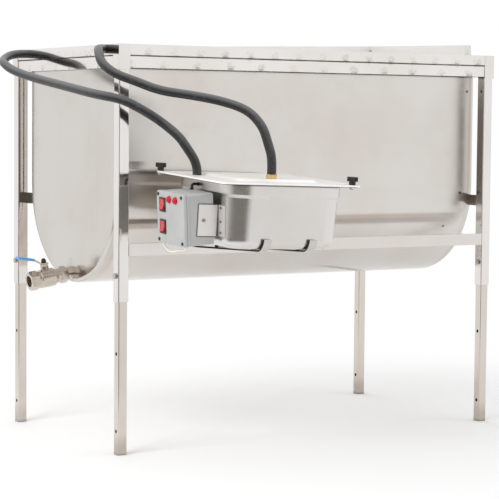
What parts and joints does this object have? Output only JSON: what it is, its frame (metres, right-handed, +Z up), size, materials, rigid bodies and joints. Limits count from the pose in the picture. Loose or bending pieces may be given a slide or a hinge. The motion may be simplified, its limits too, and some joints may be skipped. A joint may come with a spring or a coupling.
{
  "type": "uncapping machine",
  "caption": "Long half-round stainless trough on a telescopic square-tube frame, with heated knives, drain valve and a hot-water pan with pump, hoses and control box.",
  "frame": {"origin": "on the floor, midway between the four feet", "axes": "+X along the trough away from the drain valve, +Y to the back, away from the hot-water pan, +Z up"},
  "size_m": [1.3403, 1.0191, 1.094],
  "materials": {
    "frame_steel": "satin stainless tube and sheet",
    "trough_steel": "cold-rolled stainless sheet",
    "pan_steel": "bright deep-drawn stainless",
    "fastener_steel": "bright steel fasteners",
    "valve_metal": "nickel-plated brass",
    "tail_brass": "plain brass",
    "seat_plastic": "white seat plastic",
    "grip_blue": "soft blue sleeve",
    "gasket_rubber": "pale silicone",
    "knob_black": "moulded black plastic",
    "hose_rubber": "smooth black rubber",
    "lead_black": "black cable sheath",
    "cable_cream": "pale cream cable sheath",
    "pump_plastic": "moulded black plastic",
    "box_grey": "pale grey moulded plastic",
    "switch_black": "moulded black plastic",
    "rocker_red": "red moulded plastic",
    "lamp_red": "red lens"
  },
  "bodies": {
    "machine": {"post_front_left": "frame_steel", "post_front_right": "frame_steel", "post_back_left": "frame_steel", "post_back_right": "frame_steel", "corner_caps": "frame_steel", "long_rails": "frame_steel", "end_rails": "frame_steel", "trough_rim": "frame_steel", "tank_rail": "frame_steel", "trough_stays": "frame_steel", "tank_straps": "frame_steel", "knife_pipes": "frame_steel", "water_heater": "frame_steel", "box_bracket": "frame_steel", "manifolds": "frame_steel", "riser_pipe": "frame_steel", "trough_shell": "trough_steel", "trough_end_left": "trough_steel", "trough_end_right": "trough_steel", "tank_pan": "pan_steel", "tank_lid": "pan_steel", "lock_screws": "fastener_steel", "cover_screws": "fastener_steel", "bracket_fasteners": "fastener_steel", "clamp_nuts": "fastener_steel", "drain_socket": "valve_metal", "valve_body": "valve_metal", "valve_end_piece": "valve_metal", "stem_gland_nut": "valve_metal", "hose_tails": "tail_brass", "valve_seats": "seat_plastic", "lid_gasket": "gasket_rubber", "hose_supply": "hose_rubber", "hose_return": "hose_rubber", "pump_lead": "lead_black", "cable_glands": "lead_black", "box_cable": "cable_cream", "pump_body": "pump_plastic", "box_base": "box_grey", "box_cover": "box_grey", "switch_frames": "switch_black", "signal_lamps": "lamp_red"},
    "leg_front_left": {"leg_front_left": "frame_steel"},
    "leg_front_right": {"leg_front_right": "frame_steel"},
    "leg_back_left": {"leg_back_left": "frame_steel"},
    "leg_back_right": {"leg_back_right": "frame_steel"},
    "valve_handle": {"valve_ball": "valve_metal", "valve_stem": "valve_metal", "valve_lever": "valve_metal", "lever_grip": "grip_blue", "lever_nut": "knob_black"},
    "rocker_upper": {"rocker_upper": "rocker_red"},
    "rocker_lower": {"rocker_lower": "rocker_red"},
    "clamp_knob_left": {"clamp_knob_left": "knob_black"},
    "clamp_knob_right": {"clamp_knob_right": "knob_black"},
    "pump_impeller": {"pump_impeller": "pump_plastic"},
    "knife_left": {"knife_left": "frame_steel"},
    "knife_right": {"knife_right": "frame_steel"},
    "strainer": {"strainer": "frame_steel"},
    "drip_tray": {"drip_tray": "frame_steel"}
  },
  "joints": [
    {"name": "leg_front_left_slide", "type": "slide", "parent": "machine", "child": "leg_front_left", "axis": [0, 0, 1], "range_m": [0, 0.4]},
    {"name": "leg_front_right_slide", "type": "slide", "parent": "machine", "child": "leg_front_right", "axis": [0, 0, 1], "range_m": [0, 0.4]},
    {"name": "leg_back_left_slide", "type": "slide", "parent": "machine", "child": "leg_back_left", "axis": [0, 0, 1], "range_m": [0, 0.4]},
    {"name": "leg_back_right_slide", "type": "slide", "parent": "machine", "child": "leg_back_right", "axis": [0, 0, 1], "range_m": [0, 0.4]},
    {"name": "valve_turn", "type": "hinge", "parent": "machine", "child": "valve_handle", "pos_m": [-0.65106, 0, 0.43411], "axis": [-0.1564, 0, 0.9877], "range_deg": [0, 90]},
    {"name": "rocker_upper_tip", "type": "hinge", "parent": "machine", "child": "rocker_upper", "pos_m": [-0.55897, -0.48383, 0.64996], "axis": [0.0349, 0.998, 0.0531], "range_deg": [-16, 0]},
    {"name": "rocker_lower_tip", "type": "hinge", "parent": "machine", "child": "rocker_lower", "pos_m": [-0.55526, -0.48108, 0.59566], "axis": [0.0349, 0.998, 0.0531], "range_deg": [-16, 0]},
    {"name": "clamp_knob_left_turn", "type": "hinge", "parent": "machine", "child": "clamp_knob_left", "pos_m": [-0.4828, -0.32736, 0.72879], "axis": [0.0279, -0.0541, 0.9981], "range_deg": [0, 720]},
    {"name": "clamp_knob_right_turn", "type": "hinge", "parent": "machine", "child": "clamp_knob_right", "pos_m": [-0.13059, -0.68082, 0.6998], "axis": [0.0279, -0.0541, 0.9981], "range_deg": [0, 720]},
    {"name": "impeller_spin", "type": "hinge", "parent": "machine", "child": "pump_impeller", "pos_m": [-0.31123, -0.59993, 0.55996], "axis": [0.0279, -0.0541, 0.9981], "continuous": true},
    {"name": "knife_left_swing", "type": "hinge", "parent": "machine", "child": "knife_left", "pos_m": [-0.445, 0, 0.93], "axis": [0, 1, 0], "range_deg": [-8, 8]},
    {"name": "knife_right_swing", "type": "hinge", "parent": "machine", "child": "knife_right", "pos_m": [-0.355, 0, 0.93], "axis": [0, 1, 0], "range_deg": [-8, 8]},
    {"name": "strainer_lift", "type": "slide", "parent": "machine", "child": "strainer", "axis": [0, 0, 1], "range_m": [0, 0.3]},
    {"name": "drip_tray_lift", "type": "slide", "parent": "machine", "child": "drip_tray", "axis": [0, 0, 1], "range_m": [0, 0.25]}
  ]
}
